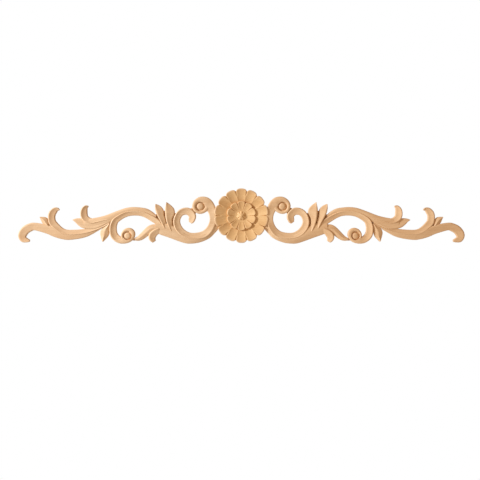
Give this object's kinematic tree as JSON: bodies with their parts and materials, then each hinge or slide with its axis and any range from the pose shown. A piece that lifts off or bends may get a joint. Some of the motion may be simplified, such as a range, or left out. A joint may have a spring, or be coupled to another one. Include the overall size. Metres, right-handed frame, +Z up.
{
  "type": "carved wood onlay with scrolls and a rosette",
  "caption": "Long, narrow carved wooden onlay: a round petalled rosette between mirrored wings of scrolling stems and leaves, flat behind, fixed to furniture, doors or panelling.",
  "frame": {"origin": "on the flat back, behind the middle of the rosette", "axes": "+X along the length, +Z up, +Y out of the flat back into the surface it is fixed to; the carving faces -Y"},
  "size_m": [0.9992, 0.0154, 0.1237],
  "materials": {
    "light_wood": "bare, finely sanded light hardwood with fine straight grain, unfinished and matt"
  },
  "bodies": {
    "root": {"carved_onlay": "light_wood"}
  },
  "joints": []
}
